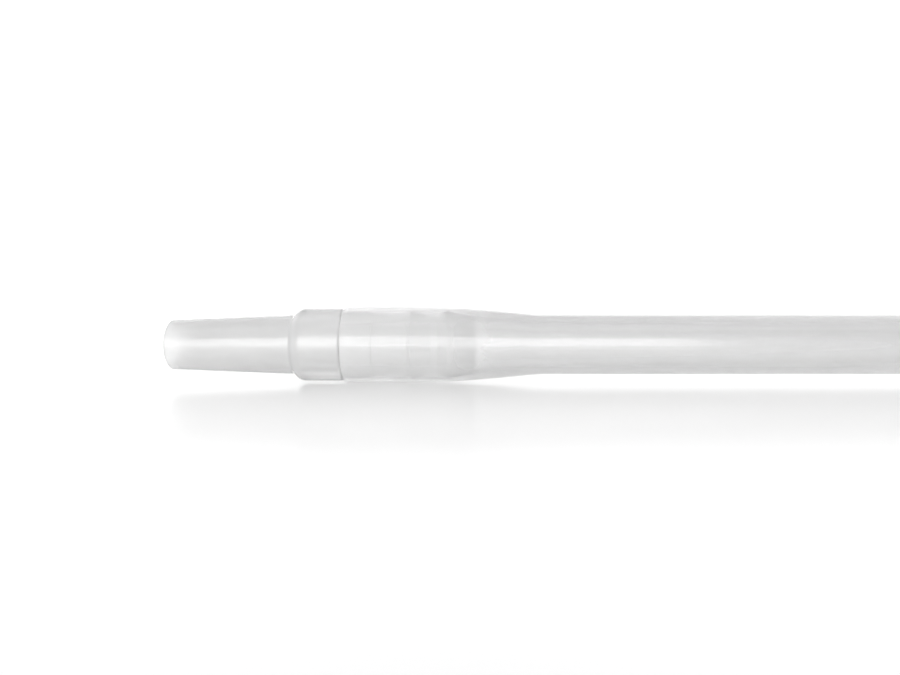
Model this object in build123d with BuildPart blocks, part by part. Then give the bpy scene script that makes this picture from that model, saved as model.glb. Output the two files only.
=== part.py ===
from build123d import *

import os
from math import atan, cos, radians, sin, tan

# Saliva ejector tip, in millimetres. It runs along X with the mouth end at +X. The origin is on its axis at
# the thick end of the nozzle, where the suction valve holds it. Stations are distances from the nozzle's rim.

# ---- driving dimensions ----
total_length = 150.0  # nozzle rim to the nose of the cap

# taper adapter, moulded in one piece
nozzle_length = 13.3  # male taper that plugs into the suction valve
nozzle_tip_diameter = 5.44
nozzle_base_diameter = 6.5
rim_wall = 0.3  # wall left at the nozzle's rim by the lead-in of the bore
lead_in_length = 1.2
adapter_bore = 4.2
shoulder_length = 0.72  # cone between the nozzle and the collar
collar_length = 4.66  # from the end of the shoulder to the face that stops the tube
collar_step = 0.285  # how far the collar stands out beyond the seat, to stop the tube
seat_diameter = 7.36  # cylinder under the mouth of the tube, then a short cone
seat_straight = 1.8
seat_length = 3.2
seat_drop = 0.12  # how far the cone falls
root_diameter = 6.4  # shank before the first barb
barb_diameter = 7.56
first_barb = 7.35  # from the collar's face to the edge of the first barb
first_barb_back = 0.4  # length of its steep side
second_barb = 11.2
second_barb_back = 1.0
barb_slope = 2.1  # length of a barb's gentle side
shank_diameter = 6.16  # shank after each barb
shank_tail = 0.9  # plain end of the shank after the second barb

# flexible tube, stretched over the barbs
tube_diameter = 6.5
tube_wall = 0.71
barb_bite = 0.02  # how deep the seat and the barbs press into the bore
flare_wall = 0.42  # wall where the tube is stretched over the barbs
flare_straight = 12.2  # mouth to the start of the flare's cone, before rounding
flare_taper = 8.9
bore_overrun = 0.35  # how far the bore keeps its stretched size past the second barb
throat_wall = 0.8  # wall where the bore leaves the shank
throat_clearance = 1.2  # from the end of the shank to the throat

# perforated cap at the mouth end
cap_grip = 7.0  # length of tube inside the cap's sleeve
cap_fit_gap = 0.03  # radial clearance between the sleeve and the tube
sleeve_wall = 0.62
head_swell = 0.28  # how far the head and the lip stand out beyond the sleeve
head_length = 9.0  # end of the tube to the nose
head_wall = 1.0
lip_length = 1.5
stop_length = 0.9  # ring that the end of the tube stops against
stop_step = 0.45  # how far that ring reaches in over the end of the tube
stop_gap = 0.05  # from the end of the tube to that ring
nose_round = 3.3
slot_count = 6
slot_length = 4.0
slot_width = 1.1
nose_hole_diameter = 1.3

# ---- roundings ----
rim_round = 0.1
shoulder_root_round = 0.3
shoulder_crown_round = 1.4
collar_edge_round = 0.26
barb_tip_round = 0.05
shank_end_round = 0.25
tube_mouth_round = 0.33
tube_end_round = 0.15
flare_crown_reach = 5.6  # how far along the outside the round at each end of the flare's cone reaches
flare_root_reach = 1.2
bore_crown_round = 4.0
throat_round = 12.0
bore_root_round = 20.0
cap_round = 0.4
sleeve_round = 1.0

# ---- radii and stations that follow from them ----
adapter_bore_radius = adapter_bore / 2
seat_radius = seat_diameter / 2
barb_radius = barb_diameter / 2
root_radius = root_diameter / 2
shank_radius = shank_diameter / 2
collar_radius = seat_radius + collar_step
collar_start = nozzle_length + shoulder_length
collar_face = collar_start + collar_length
seat_end = collar_face + seat_length
shank_end = collar_face + second_barb + barb_slope + shank_tail

tube_radius = tube_diameter / 2
tube_bore_radius = tube_radius - tube_wall
mouth_bore_radius = seat_radius - barb_bite
flare_bore_radius = barb_radius - barb_bite
flare_radius = flare_bore_radius + flare_wall
tube_end = total_length - head_length
flare_end = collar_face + flare_straight + flare_taper
stretched_bore_end = collar_face + second_barb + bore_overrun
throat = shank_end + throat_clearance
flare_slope = (flare_radius - tube_radius) / flare_taper
flare_turn = abs(atan(flare_slope))
flare_crown_round = flare_crown_reach / tan(flare_turn / 2)
flare_root_round = flare_root_reach / tan(flare_turn / 2)
throat_outer_radius = tube_radius + flare_slope * (flare_end - throat)
throat_radius = throat_outer_radius - throat_wall

sleeve_bore_radius = tube_radius + cap_fit_gap
sleeve_radius = sleeve_bore_radius + sleeve_wall
head_radius = sleeve_radius + head_swell
cap_mouth = tube_end - cap_grip
stop_start = tube_end + stop_gap
chamber_start = stop_start + stop_length
stop_radius = tube_radius - stop_step
chamber_radius = head_radius - head_wall
chamber_end = total_length - head_wall
slot_middle = (chamber_start + chamber_end - (nose_round - head_wall)) / 2

rim_x = -nozzle_length

# In this plane the first coordinate is the station and the second is the radius.
profile_plane = Plane(origin=(rim_x, 0, 0), x_dir=(1, 0, 0), z_dir=(0, -1, 0))


# ---- taper adapter ----
# Each row is a corner of the half section: station, radius, rounding.
adapter_corners = [
    (0, nozzle_tip_diameter / 2, rim_round),
    (nozzle_length, nozzle_base_diameter / 2, shoulder_root_round),
    (collar_start, collar_radius, shoulder_crown_round),
    (collar_face, collar_radius, collar_edge_round),
    (collar_face, seat_radius, 0),
    (collar_face + seat_straight, seat_radius, 0),
    (seat_end, seat_radius - seat_drop, barb_tip_round),
    (seat_end, root_radius, 0),
    (collar_face + first_barb - first_barb_back, root_radius, 0),
    (collar_face + first_barb, barb_radius, barb_tip_round),
    (collar_face + first_barb + barb_slope, shank_radius, 0),
    (collar_face + second_barb - second_barb_back, shank_radius, 0),
    (collar_face + second_barb, barb_radius, barb_tip_round),
    (collar_face + second_barb + barb_slope, shank_radius, 0),
    (shank_end, shank_radius, shank_end_round),
    (shank_end, adapter_bore_radius, shank_end_round),
    (lead_in_length, adapter_bore_radius, 0),
    (0, nozzle_tip_diameter / 2 - rim_wall, rim_round),
]
with BuildPart() as taper_adapter:
    with BuildSketch(profile_plane):
        with BuildLine():
            FilletPolyline(
                [(station, radius) for station, radius, _ in adapter_corners],
                radius=[rounding for _, _, rounding in adapter_corners],
                close=True,
            )
        make_face()
    revolve(axis=Axis.X)

# ---- suction tube ----
# Outside from mouth to end, then back along the bore, which follows the barbs and then the flare.
tube_corners = [
    (collar_face, flare_radius, tube_mouth_round),
    (collar_face + flare_straight, flare_radius, flare_crown_round),
    (flare_end, tube_radius, flare_root_round),
    (tube_end, tube_radius, tube_end_round),
    (tube_end, tube_bore_radius, tube_end_round),
    (flare_end, tube_bore_radius, bore_root_round),
    (throat, throat_radius, throat_round),
    (stretched_bore_end, flare_bore_radius, bore_crown_round),
    (collar_face + first_barb - first_barb_back, flare_bore_radius, 0),
    (collar_face + seat_straight, mouth_bore_radius, 0),
    (collar_face, mouth_bore_radius, 0),
]
with BuildPart() as suction_tube:
    with BuildSketch(profile_plane):
        with BuildLine():
            FilletPolyline(
                [(station, radius) for station, radius, _ in tube_corners],
                radius=[rounding for _, _, rounding in tube_corners],
                close=True,
            )
        make_face()
    revolve(axis=Axis.X)

# ---- tip cap ----
# A lip, a sleeve that slides on the tube, a ring that stops the tube and a hollow, domed head.
cap_corners = [
    (cap_mouth, head_radius, cap_round),
    (cap_mouth + lip_length, head_radius, cap_round),
    (cap_mouth + lip_length + head_swell, sleeve_radius, cap_round),
    (tube_end - head_swell, sleeve_radius, sleeve_round),
    (chamber_start, head_radius, sleeve_round),
    (total_length, head_radius, nose_round),
    (total_length, 0, 0),
    (chamber_end, 0, 0),
    (chamber_end, chamber_radius, nose_round - head_wall),
    (chamber_start, chamber_radius, 0),
    (chamber_start, stop_radius, 0),
    (stop_start, stop_radius, 0),
    (stop_start, sleeve_bore_radius, 0),
    (cap_mouth, sleeve_bore_radius, tube_end_round),
]
with BuildPart() as tip_cap:
    with BuildSketch(profile_plane):
        with BuildLine():
            FilletPolyline(
                [(station, radius) for station, radius, _ in cap_corners],
                radius=[rounding for _, _, rounding in cap_corners],
                close=True,
            )
        make_face()
    revolve(axis=Axis.X)
    # Suction slots, evenly round the head and rounded at both ends.
    for number in range(slot_count):
        turn = radians(number * 360 / slot_count)
        slot_plane = Plane(
            origin=(rim_x + slot_middle, 0, 0),
            x_dir=(1, 0, 0),
            z_dir=(0, sin(turn), cos(turn)),
        )
        with BuildSketch(slot_plane):
            SlotOverall(slot_length, slot_width)
        extrude(amount=head_radius + head_swell, mode=Mode.SUBTRACT)
    # One hole through the nose.
    with BuildSketch(Plane(origin=(rim_x + total_length, 0, 0), z_dir=(1, 0, 0))):
        Circle(nose_hole_diameter / 2)
    extrude(amount=-2 * head_wall, mode=Mode.SUBTRACT)

os.makedirs("parts", exist_ok=True)

taper_adapter.part.label = "taper_adapter"
suction_tube.part.label = "suction_tube"
tip_cap.part.label = "tip_cap"
export_step(taper_adapter.part, "parts/taper_adapter.step")
export_step(suction_tube.part, "parts/suction_tube.step")
export_step(tip_cap.part, "parts/tip_cap.step")
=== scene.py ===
from math import asin, atan2, ceil, cos, pi, radians, sin, tan

import bmesh
import bpy
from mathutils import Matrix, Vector


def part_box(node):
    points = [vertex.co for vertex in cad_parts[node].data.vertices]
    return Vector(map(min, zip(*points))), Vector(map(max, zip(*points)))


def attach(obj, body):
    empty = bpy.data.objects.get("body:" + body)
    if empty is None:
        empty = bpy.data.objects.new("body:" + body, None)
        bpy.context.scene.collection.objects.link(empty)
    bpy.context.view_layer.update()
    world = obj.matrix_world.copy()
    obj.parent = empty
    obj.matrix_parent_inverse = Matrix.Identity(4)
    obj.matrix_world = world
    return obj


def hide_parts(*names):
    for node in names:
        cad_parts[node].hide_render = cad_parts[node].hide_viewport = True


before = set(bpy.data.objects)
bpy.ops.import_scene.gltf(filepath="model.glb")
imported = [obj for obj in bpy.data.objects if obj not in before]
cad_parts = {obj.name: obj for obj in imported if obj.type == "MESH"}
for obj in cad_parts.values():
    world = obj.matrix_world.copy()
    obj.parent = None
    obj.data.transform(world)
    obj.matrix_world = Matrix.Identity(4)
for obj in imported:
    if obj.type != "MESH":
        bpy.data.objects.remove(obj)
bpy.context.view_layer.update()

# Saliva ejector tip. It lies along X with its mouth end at +X. Sizes are in millimetres, and a station is a
# distance along the axis from the nozzle's rim.
MM = 0.001

# ---- stations and radii that the frame gives ----
adapter_low, adapter_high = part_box("taper_adapter")
tube_low, tube_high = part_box("suction_tube")
cap_low, cap_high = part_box("tip_cap")
rim_x = adapter_low.x

collar_face = (tube_low.x - rim_x) / MM
shank_end = (adapter_high.x - rim_x) / MM
tube_end = (tube_high.x - rim_x) / MM
cap_mouth = (cap_low.x - rim_x) / MM
nose = (cap_high.x - rim_x) / MM
collar_radius = adapter_high.z / MM
flare_radius = tube_high.z / MM
head_radius = cap_high.z / MM

# ---- taper adapter: a nozzle, a collar that stops the tube, and a shank with a seat and two barbs ----
nozzle_length = 13.3
nozzle_tip_radius = 2.72
nozzle_base_radius = 3.25
rim_wall = 0.3
lead_in_length = 1.2
adapter_bore_radius = 2.1
collar_start = 14.02
seat_radius = 3.68
seat_straight = 1.8
seat_length = 3.2
seat_drop = 0.12  # how far the seat narrows after its straight part
root_radius = 3.2  # shank before the first barb
barb_radius = 3.78
first_barb = 7.35  # from the collar's face to the barb's edge
first_barb_back = 0.4  # length of its steep side
second_barb = 11.2
second_barb_back = 1.0
barb_slope = 2.1  # length of a barb's gentle side
shank_radius = 3.08

# ---- suction tube ----
tube_radius = 3.25
tube_wall = 0.71
air_gap = 0.012  # between the bore and what it is stretched over, so that both surfaces show
flare_straight = 12.2
flare_taper = 8.9
bore_overrun = 0.35  # how far the bore keeps its stretched size past the second barb
throat_clearance = 1.2  # from the end of the shank to the throat, where the bore leaves it
throat_radius = 3.03

# ---- tip cap: a lip, a sleeve, a ring that stops the tube, and a hollow head with slots ----
sleeve_gap = 0.03  # between the tube and the cap's sleeve
sleeve_wall = 0.62
head_swell = 0.28  # how far the head and the lip stand out beyond the sleeve
head_wall = 1.0
lip_length = 1.5
stop_gap = 0.05
stop_length = 0.9
stop_step = 0.45
nose_round = 3.3
nose_hole_radius = 0.65
slot_count = 6
slot_length = 4.0
slot_half_width = 0.55
slot_edge = 0.12  # rounding of the slots' edges
slot_margin = 1.5 * slot_edge  # wall beyond each end of a slot that its rounded edge takes up

# ---- roundings ----
rim_round = 0.1
shoulder_root_round = 0.3
shoulder_crown_round = 1.4
collar_edge_round = 0.26
mouth_corner_round = 0.02  # where the tube's mouth meets the collar and the seat
seat_round = 0.5
seat_end_round = 0.05
barb_root_round = 0.1
barb_tip_round = 0.04
barb_foot_round = 0.2
shank_end_round = 0.25
lead_in_round = 0.5
tube_mouth_round = 0.33
tube_end_round = 0.15
flare_crown_round = 107.0
flare_root_round = 22.9
bore_root_round = 20.0
throat_round = 12.0
bore_crown_round = 4.0
bore_step_round = 2.0
cap_round = 0.4
cap_inner_round = 0.1
sleeve_round = 1.0

# ---- how finely the pieces are divided ----
ROUND_STEPS = 160  # faces round a turned piece
ARC_STEP = radians(7)  # longest turn between two places on a rounding
RUN_STEP = 1.2  # longest distance between two places on a straight run
RUN_INSET = 0.04  # how far from a rounding a straight run has its first place
SLOT_STEPS = 28  # places along each side of a slot
SECTOR_STEPS = 14  # faces across half of a sector
TINY = 1e-6
ON_WALL = 0.001  # a place nearer than this to a wall lies on it
JOIN_WITHIN = 0.002  # places of neighbouring sectors nearer than this become one


def linear(hex_colour):
    """An sRGB hex colour as the linear colour that a shader takes."""
    channels = [int(hex_colour[i : i + 2], 16) / 255 for i in (1, 3, 5)]
    return [c / 12.92 if c <= 0.04045 else ((c + 0.055) / 1.055) ** 2.4 for c in channels] + [1.0]


def rounded(corners):
    """The closed outline through (station, radius, rounding) corners, with arcs and evenly divided runs."""
    arcs = []
    for i, (station, radius, rounding) in enumerate(corners):
        here = Vector((station, radius))
        back = (Vector(corners[i - 1][:2]) - here).normalized()
        ahead = (Vector(corners[(i + 1) % len(corners)][:2]) - here).normalized()
        turn = pi - back.angle(ahead)
        reach = rounding * tan(turn / 2)
        start, end = here + back * reach, here + ahead * reach
        middle = here
        if turn > TINY:
            middle = here + (back + ahead).normalized() * (rounding / cos(turn / 2))
        steps = max(2, ceil(turn / ARC_STEP))
        first = atan2(start.y - middle.y, start.x - middle.x)
        sweep = atan2(end.y - middle.y, end.x - middle.x) - first
        sweep = (sweep + pi) % (2 * pi) - pi
        angles = [first + sweep * k / steps for k in range(steps + 1)]
        arcs.append([middle + rounding * Vector((cos(angle), sin(angle))) for angle in angles])
    outline = []
    for arc, following in zip(arcs, arcs[1:] + arcs[:1]):
        outline += arc
        run = following[0] - arc[-1]
        if run.length > 4 * RUN_INSET:
            inset = run.normalized() * RUN_INSET
            near, far = arc[-1] + inset, following[0] - inset
            pieces = max(1, ceil((far - near).length / RUN_STEP))
            outline += [near.lerp(far, k / pieces) for k in range(pieces + 1)]
    return outline


def around(station, radius, angle):
    """The place at a station and radius, in millimetres, turned by an angle about the long axis."""
    return (rim_x + station * MM, radius * MM * sin(angle), radius * MM * cos(angle))


def add(tree, kind, settings, values):
    """A node with its settings. Each value is a number or colour for an input, or an output to link to it."""
    node = tree.nodes.new(kind)
    for name, setting in settings.items():
        setattr(node, name, setting)
    for name, value in values.items():
        if isinstance(value, bpy.types.NodeSocket):
            tree.links.new(value, node.inputs[name])
        else:
            node.inputs[name].default_value = value
    return node


def put_in_scene(name, data):
    """An object that holds the data, at the origin."""
    thing = bpy.data.objects.new(name, data)
    bpy.context.scene.collection.objects.link(thing)
    return thing


def write_smooth(mesh, data):
    """Turns all faces outward, shades them smooth and writes the mesh to the data."""
    bmesh.ops.recalc_face_normals(mesh, faces=mesh.faces)
    for face in mesh.faces:
        face.smooth = True
    mesh.to_mesh(data)
    mesh.free()


def turned(name, corners, material):
    """A closed piece turned about the long axis from a half section."""
    mesh = bmesh.new()
    angles = [2 * pi * k / ROUND_STEPS for k in range(ROUND_STEPS)]
    rings = [
        [mesh.verts.new(around(place.x, place.y, angle)) for angle in angles] for place in rounded(corners)
    ]
    for ring, following in zip(rings, rings[1:] + rings[:1]):
        for k in range(ROUND_STEPS):
            after = (k + 1) % ROUND_STEPS
            mesh.faces.new((ring[k], ring[after], following[after], following[k]))
    data = bpy.data.meshes.new(name)
    write_smooth(mesh, data)
    data.materials.append(material)
    return put_in_scene(name, data)


# ---- materials ----
CLOUD_RANGE = (0.3, 0.7)  # cloud values at which the dark and the light end are reached


def moulded(name, dark, light, cloud, grain, grain_depth, stretch, roughness, clearness, solidness, ior):
    """A milky plastic, clouded in colour and gloss, with a fine grain. Cloud and grain are in millimetres."""
    material = bpy.data.materials.new(name)
    material.use_nodes = True
    tree = material.node_tree
    shader = tree.nodes["Principled BSDF"]
    shader.inputs["IOR"].default_value = ior
    shader.inputs["Transmission Weight"].default_value = clearness
    shader.inputs["Alpha"].default_value = solidness
    place = add(tree, "ShaderNodeTexCoord", {}, {})
    along = add(tree, "ShaderNodeMapping", {}, {"Vector": place.outputs["Object"], "Scale": stretch})
    clouds = add(
        tree,
        "ShaderNodeTexNoise",
        {},
        {"Vector": along.outputs["Vector"], "Scale": 1 / (cloud * MM), "Detail": 3.0, "Roughness": 0.55},
    )
    tone = add(tree, "ShaderNodeValToRGB", {}, {"Fac": clouds.outputs["Fac"]})
    for stop, position, colour in zip(tone.color_ramp.elements, CLOUD_RANGE, (dark, light)):
        stop.position = position
        stop.color = linear(colour)
    tree.links.new(tone.outputs["Color"], shader.inputs["Base Color"])
    gloss = add(
        tree,
        "ShaderNodeMapRange",
        {},
        {
            "Value": clouds.outputs["Fac"],
            "From Min": CLOUD_RANGE[0],
            "From Max": CLOUD_RANGE[1],
            "To Min": roughness[0],
            "To Max": roughness[1],
        },
    )
    tree.links.new(gloss.outputs["Result"], shader.inputs["Roughness"])
    fine = add(
        tree,
        "ShaderNodeTexNoise",
        {},
        {"Vector": along.outputs["Vector"], "Scale": 1 / (grain * MM), "Detail": 2.0},
    )
    bump = add(
        tree,
        "ShaderNodeBump",
        {},
        {"Strength": 1.0, "Distance": grain_depth * MM, "Height": fine.outputs["Fac"]},
    )
    tree.links.new(bump.outputs["Normal"], shader.inputs["Normal"])
    return material


def paint_light(material, full_to, none_from, colour, clearness, solidness):
    """Paints light into the material: paler and less clear in full up to one station and not at all from
    another, with a soft change between.

    Clearness and solidness are pairs, first the plain value and then the value with painted light.
    """
    tree = material.node_tree
    shader = tree.nodes["Principled BSDF"]
    place = add(tree, "ShaderNodeTexCoord", {}, {})
    position = add(tree, "ShaderNodeSeparateXYZ", {}, {"Vector": place.outputs["Object"]})
    # How much painted light each station gets: 1 over the shank, 0 past it.
    painted_light_share = add(
        tree,
        "ShaderNodeMapRange",
        {"interpolation_type": "SMOOTHSTEP"},
        {
            "Value": position.outputs["X"],
            "From Min": rim_x + full_to * MM,
            "From Max": rim_x + none_from * MM,
            "To Min": 1.0,
            "To Max": 0.0,
        },
    )
    # The colours of this kind of node are its inputs 6 and 7 and its output 2.
    plain = shader.inputs["Base Color"].links[0].from_socket
    painted_light_colour = add(
        tree,
        "ShaderNodeMix",
        {"data_type": "RGBA"},
        {0: painted_light_share.outputs["Result"], 6: plain, 7: linear(colour)},
    )
    tree.links.new(painted_light_colour.outputs[2], shader.inputs["Base Color"])
    for name, (plain_level, painted_level) in (("Transmission Weight", clearness), ("Alpha", solidness)):
        level = add(
            tree,
            "ShaderNodeMapRange",
            {},
            {"Value": painted_light_share.outputs["Result"], "To Min": plain_level, "To Max": painted_level},
        )
        tree.links.new(level.outputs["Result"], shader.inputs[name])


# Natural polypropylene, injection moulded: milky, with faint cloudy flow marks and a soft gloss.
adapter_plastic = moulded(
    "natural_polypropylene",
    dark="#EAEAEA",
    light="#F2F2F2",
    cloud=3.5,
    grain=0.35,
    grain_depth=0.0002,
    stretch=(0.5, 1, 1),
    roughness=(0.12, 0.17),
    clearness=0.55,
    solidness=0.9,
    ior=1.49,
)
# Clear plasticised vinyl, extruded: see-through and glossy, with faint die lines along its length.
vinyl_clearness = 0.6
vinyl_solidness = 0.72
tube_vinyl = moulded(
    "clear_vinyl",
    dark="#E5E5E5",
    light="#EAEAEA",
    cloud=1.2,
    grain=0.3,
    grain_depth=0.00005,
    stretch=(0.03, 1, 1),
    roughness=(0.14, 0.18),
    clearness=vinyl_clearness,
    solidness=vinyl_solidness,
    ior=1.53,
)
# Painted light: over the shank the vinyl is made paler and less clear, which brightens the flare in place of
# light that the wall keeps from it.
paint_light(
    tube_vinyl,
    full_to=shank_end - 5,
    none_from=shank_end + 3,
    colour="#FCFCFC",
    clearness=(vinyl_clearness, 0.42),
    solidness=(vinyl_solidness, 0.44),
)
# Natural low-density polyethylene, injection moulded: waxy and satin.
cap_plastic = moulded(
    "natural_polyethylene",
    dark="#DFDFDF",
    light="#E9E9E9",
    cloud=2.5,
    grain=0.3,
    grain_depth=0.0004,
    stretch=(0.7, 1, 1),
    roughness=(0.28, 0.36),
    clearness=0.4,
    solidness=1.0,
    ior=1.51,
)

# ---- taper adapter ----
# Each row is a corner of a half section: station, radius, rounding.
seat_end = collar_face + seat_length
first_edge = collar_face + first_barb
second_edge = collar_face + second_barb
adapter = turned(
    "adapter_body",
    [
        (0, nozzle_tip_radius, rim_round),
        (nozzle_length, nozzle_base_radius, shoulder_root_round),
        (collar_start, collar_radius, shoulder_crown_round),
        (collar_face, collar_radius, collar_edge_round),
        (collar_face, seat_radius, mouth_corner_round),
        (collar_face + seat_straight, seat_radius, seat_round),
        (seat_end, seat_radius - seat_drop, seat_end_round),
        (seat_end, root_radius, seat_end_round),
        (first_edge - first_barb_back, root_radius, barb_root_round),
        (first_edge, barb_radius, barb_tip_round),
        (first_edge + barb_slope, shank_radius, barb_foot_round),
        (second_edge - second_barb_back, shank_radius, barb_root_round),
        (second_edge, barb_radius, barb_tip_round),
        (second_edge + barb_slope, shank_radius, barb_foot_round),
        (shank_end, shank_radius, shank_end_round),
        (shank_end, adapter_bore_radius, shank_end_round),
        (lead_in_length, adapter_bore_radius, lead_in_round),
        (0, nozzle_tip_radius - rim_wall, rim_round),
    ],
    adapter_plastic,
)
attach(adapter, "tube")
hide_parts("taper_adapter")

# ---- suction tube ----
flare_end = collar_face + flare_straight + flare_taper
tube_bore_radius = tube_radius - tube_wall
tube_mouth = collar_face + air_gap
barb_bore_radius = barb_radius + air_gap
seat_bore_radius = seat_radius + air_gap
tube = turned(
    "tube_body",
    [
        (tube_mouth, flare_radius, tube_mouth_round),
        (collar_face + flare_straight, flare_radius, flare_crown_round),
        (flare_end, tube_radius, flare_root_round),
        (tube_end, tube_radius, tube_end_round),
        (tube_end, tube_bore_radius, tube_end_round),
        (flare_end, tube_bore_radius, bore_root_round),
        (shank_end + throat_clearance, throat_radius, throat_round),
        (second_edge + bore_overrun, barb_bore_radius, bore_crown_round),
        (first_edge - first_barb_back, barb_bore_radius, bore_step_round),
        (collar_face + seat_straight, seat_bore_radius, bore_step_round),
        (tube_mouth, seat_bore_radius, mouth_corner_round),
    ],
    tube_vinyl,
)
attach(tube, "tube")
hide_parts("suction_tube")

# ---- tip cap ----
sleeve_bore_radius = tube_radius + sleeve_gap
sleeve_radius = sleeve_bore_radius + sleeve_wall
stop_start = tube_end + stop_gap
chamber_start = stop_start + stop_length
chamber_end = nose - head_wall
chamber_radius = head_radius - head_wall
stop_radius = tube_radius - stop_step
slot_middle = (chamber_start + chamber_end - (nose_round - head_wall)) / 2

# One side of a slot, from its low end to its high end. Each row is a station, the distance from the slot's
# middle line, and which way the edge faces, along the axis and across it.
slot_side = []
straight = slot_length / 2 - slot_half_width
for k in range(SLOT_STEPS + 1):
    swing = pi * k / SLOT_STEPS
    along, across = -cos(swing), sin(swing)
    shift = straight if along > TINY else -straight if along < -TINY else 0.0
    station = slot_middle + shift + slot_half_width * along
    slot_side.append((station, slot_half_width * across, along, across))


def beside_slot(station, radius):
    """Whether a place lies beside the slot on one of the two walls that the slot cuts."""
    on_wall = min(abs(radius - wall) for wall in (head_radius, chamber_radius)) < ON_WALL
    return on_wall and abs(station - slot_middle) < slot_length / 2 + slot_margin


def with_slot(rows, wall):
    """The outline with the slot's side put in where it passes the slot along this wall."""
    slot_rows = [(station, wall, side) for side, (station, *_) in enumerate(slot_side)]
    for i, (row, following) in enumerate(zip(rows, rows[1:])):
        on_wall = max(abs(row[1] - wall), abs(following[1] - wall)) < ON_WALL
        if on_wall and (row[0] - slot_middle) * (following[0] - slot_middle) < 0:
            if row[0] > following[0]:
                slot_rows.reverse()
            return rows[: i + 1] + slot_rows + rows[i + 1 :]
    raise ValueError("the outline doesn't pass the slot")


cap_outline = rounded(
    [
        (nose, nose_hole_radius, cap_inner_round),
        (chamber_end, nose_hole_radius, cap_inner_round),
        (chamber_end, chamber_radius, nose_round - head_wall),
        (chamber_start, chamber_radius, cap_inner_round),
        (chamber_start, stop_radius, cap_inner_round),
        (stop_start, stop_radius, cap_inner_round),
        (stop_start, sleeve_bore_radius, cap_inner_round),
        (cap_mouth, sleeve_bore_radius, tube_end_round),
        (cap_mouth, head_radius, cap_round),
        (cap_mouth + lip_length, head_radius, cap_round),
        (cap_mouth + lip_length + head_swell, sleeve_radius, cap_round),
        (tube_end - head_swell, sleeve_radius, sleeve_round),
        (chamber_start, head_radius, sleeve_round),
        (nose, head_radius, nose_round),
    ]
)
# Each row is a station, a radius, and the row of slot_side that it belongs to, if any.
cap_rows = [(place.x, place.y, None) for place in cap_outline if not beside_slot(place.x, place.y)]
cap_rows = with_slot(with_slot(cap_rows, chamber_radius), head_radius)

# The rounding below a slot's rim: how deep and how far out of the slot's wall, as shares of slot_edge.
slot_edge_places = ((0.3, 0.3), (1.0, 0.0))

# The cap is made of equal sectors, each with one slot in its middle.
sector = bmesh.new()
for hand in (-1, 1):
    columns = []
    edges = {}
    for station, radius, side in cap_rows:
        start = 0.0
        if side is not None:
            _, width, along, across = slot_side[side]
            start = asin((width + slot_edge * across) / radius)
        column = []
        for j in range(SECTOR_STEPS + 1):
            share = j / SECTOR_STEPS
            place = station if side is None else station + slot_edge * along * (1 - share)
            angle = hand * (start + share * (pi / slot_count - start))
            column.append(sector.verts.new(around(place, radius, angle)))
        columns.append(column)
        if side is not None:
            edges[side, radius] = column[0]
    for column, following in zip(columns, columns[1:] + columns[:1]):
        for j in range(SECTOR_STEPS):
            sector.faces.new((column[j], column[j + 1], following[j + 1], following[j]))
    # The slot's own wall, with rounded edges at the outside and at the chamber.
    walls = []
    for side, (station, width, along, across) in enumerate(slot_side):
        places = [(head_radius - slot_edge * depth, slot_edge * reach) for depth, reach in slot_edge_places]
        for depth, reach in reversed(slot_edge_places):
            places.append((chamber_radius + slot_edge * depth, slot_edge * reach))
        wall = [edges[side, head_radius]]
        for radius, reach in places:
            angle = hand * asin((width + reach * across) / radius)
            wall.append(sector.verts.new(around(station + reach * along, radius, angle)))
        wall.append(edges[side, chamber_radius])
        walls.append(wall)
    for wall, following in zip(walls, walls[1:]):
        for j in range(len(wall) - 1):
            sector.faces.new((wall[j], wall[j + 1], following[j + 1], following[j]))
sector_mesh = bpy.data.meshes.new("cap_sector")
sector.to_mesh(sector_mesh)
sector.free()
sector_piece = put_in_scene("cap_sector", sector_mesh)

# The sector is repeated evenly round the long axis and joined into a closed cap.
repeat = bpy.data.node_groups.new("slots_round_the_axis", "GeometryNodeTree")
repeat.interface.new_socket("Sector", in_out="INPUT", socket_type="NodeSocketGeometry")
count_socket = repeat.interface.new_socket("Slot count", in_out="INPUT", socket_type="NodeSocketInt")
join_socket = repeat.interface.new_socket("Join within", in_out="INPUT", socket_type="NodeSocketFloat")
finish_socket = repeat.interface.new_socket("Finish", in_out="INPUT", socket_type="NodeSocketMaterial")
repeat.interface.new_socket("Cap", in_out="OUTPUT", socket_type="NodeSocketGeometry")
given = add(repeat, "NodeGroupInput", {}, {})
number = add(repeat, "GeometryNodeInputIndex", {}, {})
step = add(
    repeat,
    "ShaderNodeMath",
    {"operation": "DIVIDE"},
    {0: 2 * pi, 1: given.outputs["Slot count"]},
)
turn = add(
    repeat,
    "ShaderNodeMath",
    {"operation": "MULTIPLY"},
    {0: number.outputs["Index"], 1: step.outputs["Value"]},
)
about_x = add(repeat, "ShaderNodeCombineXYZ", {}, {"X": turn.outputs["Value"]})
origins = add(
    repeat,
    "GeometryNodeMeshLine",
    {},
    {"Count": given.outputs["Slot count"], "Offset": (0.0, 0.0, 0.0)},
)
copies = add(
    repeat,
    "GeometryNodeInstanceOnPoints",
    {},
    {
        "Points": origins.outputs["Mesh"],
        "Instance": given.outputs["Sector"],
        "Rotation": about_x.outputs["Vector"],
    },
)
whole = add(repeat, "GeometryNodeRealizeInstances", {}, {"Geometry": copies.outputs["Instances"]})
joined = add(
    repeat,
    "GeometryNodeMergeByDistance",
    {},
    {"Geometry": whole.outputs["Geometry"], "Distance": given.outputs["Join within"]},
)
finished = add(
    repeat,
    "GeometryNodeSetMaterial",
    {},
    {"Geometry": joined.outputs["Geometry"], "Material": given.outputs["Finish"]},
)
add(repeat, "NodeGroupOutput", {}, {"Cap": finished.outputs["Geometry"]})
modifier = sector_piece.modifiers.new("slots_round_the_axis", "NODES")
modifier.node_group = repeat
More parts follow.
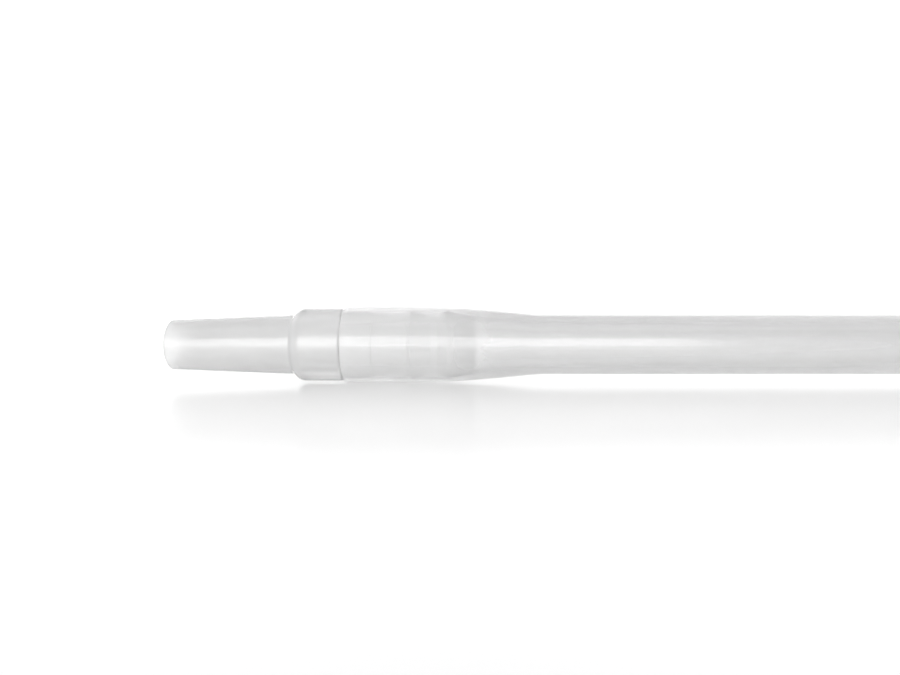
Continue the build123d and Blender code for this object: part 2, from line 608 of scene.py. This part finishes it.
modifier[count_socket.identifier] = slot_count
modifier[join_socket.identifier] = JOIN_WITHIN * MM
modifier[finish_socket.identifier] = cap_plastic
bpy.context.view_layer.update()
result = sector_piece.evaluated_get(bpy.context.evaluated_depsgraph_get())
cap_mesh = bpy.data.meshes.new_from_object(result)
bpy.data.objects.remove(sector_piece)
shell = bmesh.new()
shell.from_mesh(cap_mesh)
write_smooth(shell, cap_mesh)
cap = put_in_scene("cap_body", cap_mesh)
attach(cap, "cap")
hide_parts("tip_cap")

# ---- floor ----
# White acrylic sheet, lit softly from below: it is bright, and its polish mirrors what lies on it.
floor_size = 4.0  # metres
resting_radius = max(flare_radius, head_radius)
bpy.ops.mesh.primitive_plane_add(size=floor_size, location=(0, 0, -resting_radius * MM))
floor = bpy.context.object
floor.name = "floor"
floor_material = bpy.data.materials.new("white_acrylic_floor")
floor_material.use_nodes = True
floor_shader = floor_material.node_tree.nodes["Principled BSDF"]
for name, value in (
    ("Base Color", linear("#F2F2F2")),
    ("Roughness", 0.2),
    ("Emission Color", linear("#FFFFFF")),
    ("Emission Strength", 0.12),
):
    floor_shader.inputs[name].default_value = value
floor.data.materials.append(floor_material)

# ---- studio: a white wall behind, low down, and greyer above and in front ----
# Directions run from -1 to 1, Y towards the wall and Z upward.
wall_strength = 1.5
room_strength = 0.33
ceiling_strength = 0.15
world = bpy.data.worlds.new("studio")
bpy.context.scene.world = world
world.use_nodes = True
sky = world.node_tree
looking = add(sky, "ShaderNodeTexCoord", {}, {})
direction = add(sky, "ShaderNodeSeparateXYZ", {}, {"Vector": looking.outputs["Generated"]})
behind = add(
    sky,
    "ShaderNodeMapRange",
    {"interpolation_type": "SMOOTHSTEP"},
    {
        "Value": direction.outputs["Y"],
        "From Min": -0.3,
        "From Max": 0.4,
        "To Min": room_strength,
        "To Max": wall_strength,
    },
)
above = add(
    sky,
    "ShaderNodeMapRange",
    {"interpolation_type": "SMOOTHSTEP"},
    {"Value": direction.outputs["Z"], "From Min": 0.45, "From Max": 0.8, "To Min": 0.0, "To Max": 1.0},
)
shade = add(
    sky,
    "ShaderNodeMix",
    {"data_type": "FLOAT"},
    {"Factor": above.outputs["Result"], "A": behind.outputs["Result"], "B": ceiling_strength},
)
background = sky.nodes["Background"]
sky.links.new(shade.outputs["Result"], background.inputs["Strength"])
background.inputs["Color"].default_value = linear("#FFFFFF")


# ---- lamps, in metres and watts ----
def softbox(name, place, aim, width, height, power):
    """A rectangular lamp at a place, turned to face the aim."""
    light = bpy.data.lights.new(name, "AREA")
    light.shape = "RECTANGLE"
    light.size = width
    light.size_y = height
    light.energy = power
    lamp = put_in_scene(name, light)
    lamp.location = place
    lamp.rotation_euler = (Vector(aim) - Vector(place)).to_track_quat("-Z", "Y").to_euler()


lit_place = (rim_x + 0.06, 0, 0)
softbox("front_softbox", (-0.005, -0.5, 0.05), lit_place, width=0.52, height=0.45, power=3.7)
softbox("overhead_softbox", (rim_x + 0.06, 0.1, 0.7), lit_place, width=1.4, height=1.0, power=2.75)

# ---- camera: beside the flare, a little above the axis, looking slightly down ----
camera_distance = 68.0 * MM
camera_station = 30.22
camera_tilt = radians(5)
camera_rise = 0.77 * MM  # how far the view is raised, square to its direction
camera_data = bpy.data.cameras.new("camera")
camera_data.sensor_width = 36.0
camera_data.lens = 24.8
camera_data.clip_start = 0.001
camera = put_in_scene("camera", camera_data)
camera.location = (
    rim_x + camera_station * MM,
    -camera_distance * cos(camera_tilt) + camera_rise * sin(camera_tilt),
    camera_distance * sin(camera_tilt) + camera_rise * cos(camera_tilt),
)
camera.rotation_euler = (pi / 2 - camera_tilt, 0, 0)
bpy.context.scene.camera = camera

bpy.context.scene.view_settings.view_transform = "Standard"
